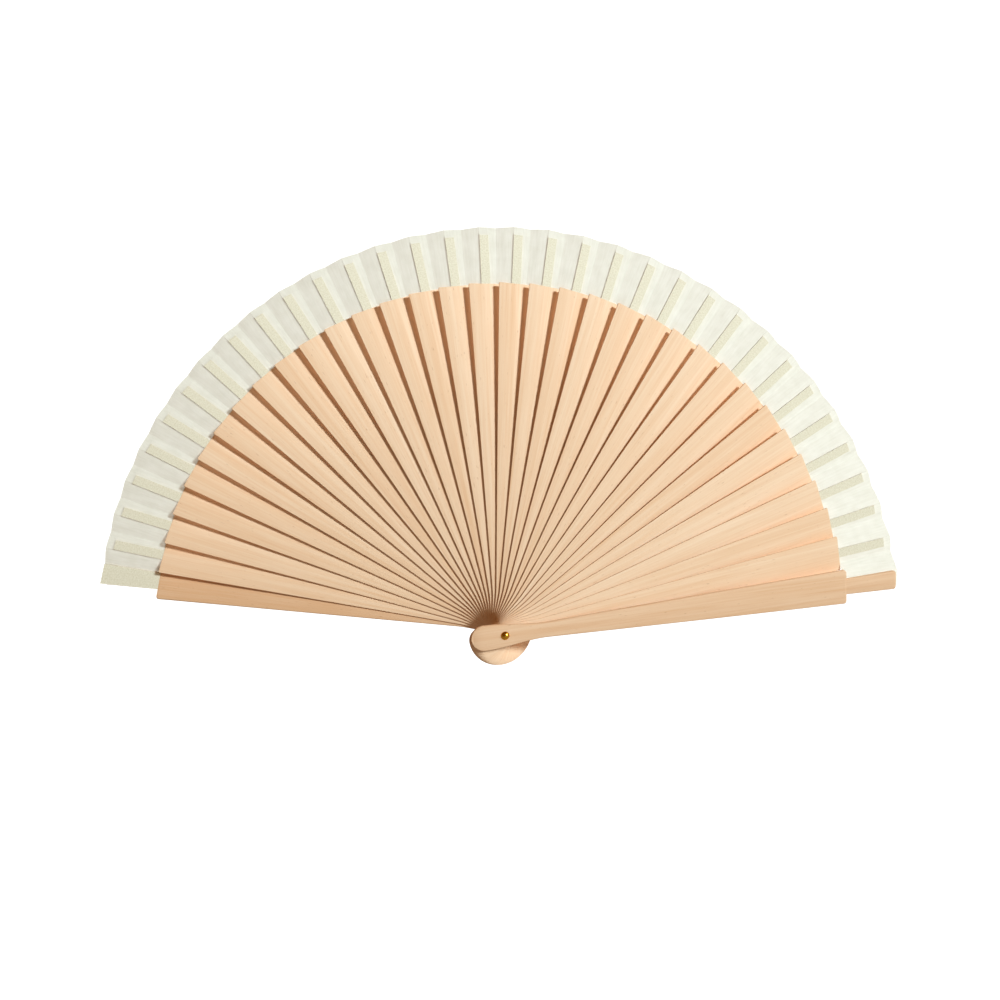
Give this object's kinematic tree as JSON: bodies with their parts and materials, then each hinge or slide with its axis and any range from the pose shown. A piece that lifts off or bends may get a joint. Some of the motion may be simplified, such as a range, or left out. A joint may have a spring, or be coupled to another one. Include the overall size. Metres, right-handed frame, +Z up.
{
  "type": "folding hand fan",
  "caption": "Folding hand fan with a pleated cloth leaf on flat tapered wooden sticks, riveted at the head, that opens and closes as one.",
  "frame": {"origin": "on the rivet's axis, half way through the stack of sticks, where the hand holds the fan", "axes": "the fan stands open and upright as it is displayed: +X to the right, +Z up from the rivet to the top of the leaf, -Y towards the viewer, along the rivet's axis from the rear guard to the front guard"},
  "size_m": [0.4225, 0.0398, 0.2311],
  "materials": {
    "guard_wood": "bare pale close-grained wood, sanded smooth",
    "rib_wood": "bare pale close-grained wood, sanded smooth",
    "rivet_metal": "polished brass",
    "leaf_cloth": "thin cream plain-woven cloth, slightly translucent, pleated"
  },
  "bodies": {
    "rear_guard": {"rear_guard": "guard_wood", "rivet": "rivet_metal", "rivet_burr": "rivet_metal", "leaf": "leaf_cloth"},
    "rib_01": {"rib_01": "rib_wood"},
    "rib_02": {"rib_02": "rib_wood"},
    "rib_03": {"rib_03": "rib_wood"},
    "rib_04": {"rib_04": "rib_wood"},
    "rib_05": {"rib_05": "rib_wood"},
    "rib_06": {"rib_06": "rib_wood"},
    "rib_07": {"rib_07": "rib_wood"},
    "rib_08": {"rib_08": "rib_wood"},
    "rib_09": {"rib_09": "rib_wood"},
    "rib_10": {"rib_10": "rib_wood"},
    "rib_11": {"rib_11": "rib_wood"},
    "rib_12": {"rib_12": "rib_wood"},
    "rib_13": {"rib_13": "rib_wood"},
    "rib_14": {"rib_14": "rib_wood"},
    "rib_15": {"rib_15": "rib_wood"},
    "rib_16": {"rib_16": "rib_wood"},
    "rib_17": {"rib_17": "rib_wood"},
    "rib_18": {"rib_18": "rib_wood"},
    "rib_19": {"rib_19": "rib_wood"},
    "rib_20": {"rib_20": "rib_wood"},
    "rib_21": {"rib_21": "rib_wood"},
    "rib_22": {"rib_22": "rib_wood"},
    "rib_23": {"rib_23": "rib_wood"},
    "rib_24": {"rib_24": "rib_wood"},
    "rib_25": {"rib_25": "rib_wood"},
    "rib_26": {"rib_26": "rib_wood"},
    "rib_27": {"rib_27": "rib_wood"},
    "rib_28": {"rib_28": "rib_wood"},
    "rib_29": {"rib_29": "rib_wood"},
    "rib_30": {"rib_30": "rib_wood"},
    "rib_31": {"rib_31": "rib_wood"},
    "rib_32": {"rib_32": "rib_wood"},
    "front_guard": {"front_guard": "guard_wood"}
  },
  "joints": [
    {"name": "open_close", "type": "hinge", "parent": "rear_guard", "child": "rib_01", "pos_m": [0, 0, 0], "axis": [0, -1, 0], "range_deg": [0, 4.5], "deforming": ["leaf"]},
    {"name": "turn_rib_02", "type": "hinge", "parent": "rib_01", "child": "rib_02", "pos_m": [0, 0, 0], "axis": [0, -1, 0], "range_deg": [0, 4.99]},
    {"name": "turn_rib_03", "type": "hinge", "parent": "rib_02", "child": "rib_03", "pos_m": [0, 0, 0], "axis": [0, -1, 0], "range_deg": [0, 4.99]},
    {"name": "turn_rib_04", "type": "hinge", "parent": "rib_03", "child": "rib_04", "pos_m": [0, 0, 0], "axis": [0, -1, 0], "range_deg": [0, 4.99]},
    {"name": "turn_rib_05", "type": "hinge", "parent": "rib_04", "child": "rib_05", "pos_m": [0, 0, 0], "axis": [0, -1, 0], "range_deg": [0, 4.99]},
    {"name": "turn_rib_06", "type": "hinge", "parent": "rib_05", "child": "rib_06", "pos_m": [0, 0, 0], "axis": [0, -1, 0], "range_deg": [0, 4.99]},
    {"name": "turn_rib_07", "type": "hinge", "parent": "rib_06", "child": "rib_07", "pos_m": [0, 0, 0], "axis": [0, -1, 0], "range_deg": [0, 4.99]},
    {"name": "turn_rib_08", "type": "hinge", "parent": "rib_07", "child": "rib_08", "pos_m": [0, 0, 0], "axis": [0, -1, 0], "range_deg": [0, 4.99]},
    {"name": "turn_rib_09", "type": "hinge", "parent": "rib_08", "child": "rib_09", "pos_m": [0, 0, 0], "axis": [0, -1, 0], "range_deg": [0, 4.99]},
    {"name": "turn_rib_10", "type": "hinge", "parent": "rib_09", "child": "rib_10", "pos_m": [0, 0, 0], "axis": [0, -1, 0], "range_deg": [0, 4.99]},
    {"name": "turn_rib_11", "type": "hinge", "parent": "rib_10", "child": "rib_11", "pos_m": [0, 0, 0], "axis": [0, -1, 0], "range_deg": [0, 4.99]},
    {"name": "turn_rib_12", "type": "hinge", "parent": "rib_11", "child": "rib_12", "pos_m": [0, 0, 0], "axis": [0, -1, 0], "range_deg": [0, 4.99]},
    {"name": "turn_rib_13", "type": "hinge", "parent": "rib_12", "child": "rib_13", "pos_m": [0, 0, 0], "axis": [0, -1, 0], "range_deg": [0, 4.99]},
    {"name": "turn_rib_14", "type": "hinge", "parent": "rib_13", "child": "rib_14", "pos_m": [0, 0, 0], "axis": [0, -1, 0], "range_deg": [0, 4.99]},
    {"name": "turn_rib_15", "type": "hinge", "parent": "rib_14", "child": "rib_15", "pos_m": [0, 0, 0], "axis": [0, -1, 0], "range_deg": [0, 4.99]},
    {"name": "turn_rib_16", "type": "hinge", "parent": "rib_15", "child": "rib_16", "pos_m": [0, 0, 0], "axis": [0, -1, 0], "range_deg": [0, 4.99]},
    {"name": "turn_rib_17", "type": "hinge", "parent": "rib_16", "child": "rib_17", "pos_m": [0, 0, 0], "axis": [0, -1, 0], "range_deg": [0, 4.99]},
    {"name": "turn_rib_18", "type": "hinge", "parent": "rib_17", "child": "rib_18", "pos_m": [0, 0, 0], "axis": [0, -1, 0], "range_deg": [0, 4.99]},
    {"name": "turn_rib_19", "type": "hinge", "parent": "rib_18", "child": "rib_19", "pos_m": [0, 0, 0], "axis": [0, -1, 0], "range_deg": [0, 4.99]},
    {"name": "turn_rib_20", "type": "hinge", "parent": "rib_19", "child": "rib_20", "pos_m": [0, 0, 0], "axis": [0, -1, 0], "range_deg": [0, 4.99]},
    {"name": "turn_rib_21", "type": "hinge", "parent": "rib_20", "child": "rib_21", "pos_m": [0, 0, 0], "axis": [0, -1, 0], "range_deg": [0, 4.99]},
    {"name": "turn_rib_22", "type": "hinge", "parent": "rib_21", "child": "rib_22", "pos_m": [0, 0, 0], "axis": [0, -1, 0], "range_deg": [0, 4.99]},
    {"name": "turn_rib_23", "type": "hinge", "parent": "rib_22", "child": "rib_23", "pos_m": [0, 0, 0], "axis": [0, -1, 0], "range_deg": [0, 4.99]},
    {"name": "turn_rib_24", "type": "hinge", "parent": "rib_23", "child": "rib_24", "pos_m": [0, 0, 0], "axis": [0, -1, 0], "range_deg": [0, 4.99]},
    {"name": "turn_rib_25", "type": "hinge", "parent": "rib_24", "child": "rib_25", "pos_m": [0, 0, 0], "axis": [0, -1, 0], "range_deg": [0, 4.99]},
    {"name": "turn_rib_26", "type": "hinge", "parent": "rib_25", "child": "rib_26", "pos_m": [0, 0, 0], "axis": [0, -1, 0], "range_deg": [0, 4.99]},
    {"name": "turn_rib_27", "type": "hinge", "parent": "rib_26", "child": "rib_27", "pos_m": [0, 0, 0], "axis": [0, -1, 0], "range_deg": [0, 4.99]},
    {"name": "turn_rib_28", "type": "hinge", "parent": "rib_27", "child": "rib_28", "pos_m": [0, 0, 0], "axis": [0, -1, 0], "range_deg": [0, 4.99]},
    {"name": "turn_rib_29", "type": "hinge", "parent": "rib_28", "child": "rib_29", "pos_m": [0, 0, 0], "axis": [0, -1, 0], "range_deg": [0, 4.99]},
    {"name": "turn_rib_30", "type": "hinge", "parent": "rib_29", "child": "rib_30", "pos_m": [0, 0, 0], "axis": [0, -1, 0], "range_deg": [0, 4.99]},
    {"name": "turn_rib_31", "type": "hinge", "parent": "rib_30", "child": "rib_31", "pos_m": [0, 0, 0], "axis": [0, -1, 0], "range_deg": [0, 4.99]},
    {"name": "turn_rib_32", "type": "hinge", "parent": "rib_31", "child": "rib_32", "pos_m": [0, 0, 0], "axis": [0, -1, 0], "range_deg": [0, 4.99]},
    {"name": "turn_front_guard", "type": "hinge", "parent": "rib_32", "child": "front_guard", "pos_m": [0, 0, 0], "axis": [0, -1, 0], "range_deg": [0, 5.6]}
  ],
  "couplings": [
    {"joint": "turn_rib_02", "follows": "open_close", "ratio": 1.1078},
    {"joint": "turn_rib_03", "follows": "open_close", "ratio": 1.1078},
    {"joint": "turn_rib_04", "follows": "open_close", "ratio": 1.1078},
    {"joint": "turn_rib_05", "follows": "open_close", "ratio": 1.1078},
    {"joint": "turn_rib_06", "follows": "open_close", "ratio": 1.1078},
    {"joint": "turn_rib_07", "follows": "open_close", "ratio": 1.1078},
    {"joint": "turn_rib_08", "follows": "open_close", "ratio": 1.1078},
    {"joint": "turn_rib_09", "follows": "open_close", "ratio": 1.1078},
    {"joint": "turn_rib_10", "follows": "open_close", "ratio": 1.1078},
    {"joint": "turn_rib_11", "follows": "open_close", "ratio": 1.1078},
    {"joint": "turn_rib_12", "follows": "open_close", "ratio": 1.1078},
    {"joint": "turn_rib_13", "follows": "open_close", "ratio": 1.1078},
    {"joint": "turn_rib_14", "follows": "open_close", "ratio": 1.1078},
    {"joint": "turn_rib_15", "follows": "open_close", "ratio": 1.1078},
    {"joint": "turn_rib_16", "follows": "open_close", "ratio": 1.1078},
    {"joint": "turn_rib_17", "follows": "open_close", "ratio": 1.1078},
    {"joint": "turn_rib_18", "follows": "open_close", "ratio": 1.1078},
    {"joint": "turn_rib_19", "follows": "open_close", "ratio": 1.1078},
    {"joint": "turn_rib_20", "follows": "open_close", "ratio": 1.1078},
    {"joint": "turn_rib_21", "follows": "open_close", "ratio": 1.1078},
    {"joint": "turn_rib_22", "follows": "open_close", "ratio": 1.1078},
    {"joint": "turn_rib_23", "follows": "open_close", "ratio": 1.1078},
    {"joint": "turn_rib_24", "follows": "open_close", "ratio": 1.1078},
    {"joint": "turn_rib_25", "follows": "open_close", "ratio": 1.1078},
    {"joint": "turn_rib_26", "follows": "open_close", "ratio": 1.1078},
    {"joint": "turn_rib_27", "follows": "open_close", "ratio": 1.1078},
    {"joint": "turn_rib_28", "follows": "open_close", "ratio": 1.1078},
    {"joint": "turn_rib_29", "follows": "open_close", "ratio": 1.1078},
    {"joint": "turn_rib_30", "follows": "open_close", "ratio": 1.1078},
    {"joint": "turn_rib_31", "follows": "open_close", "ratio": 1.1078},
    {"joint": "turn_rib_32", "follows": "open_close", "ratio": 1.1078},
    {"joint": "turn_front_guard", "follows": "open_close", "ratio": 1.2444}
  ]
}
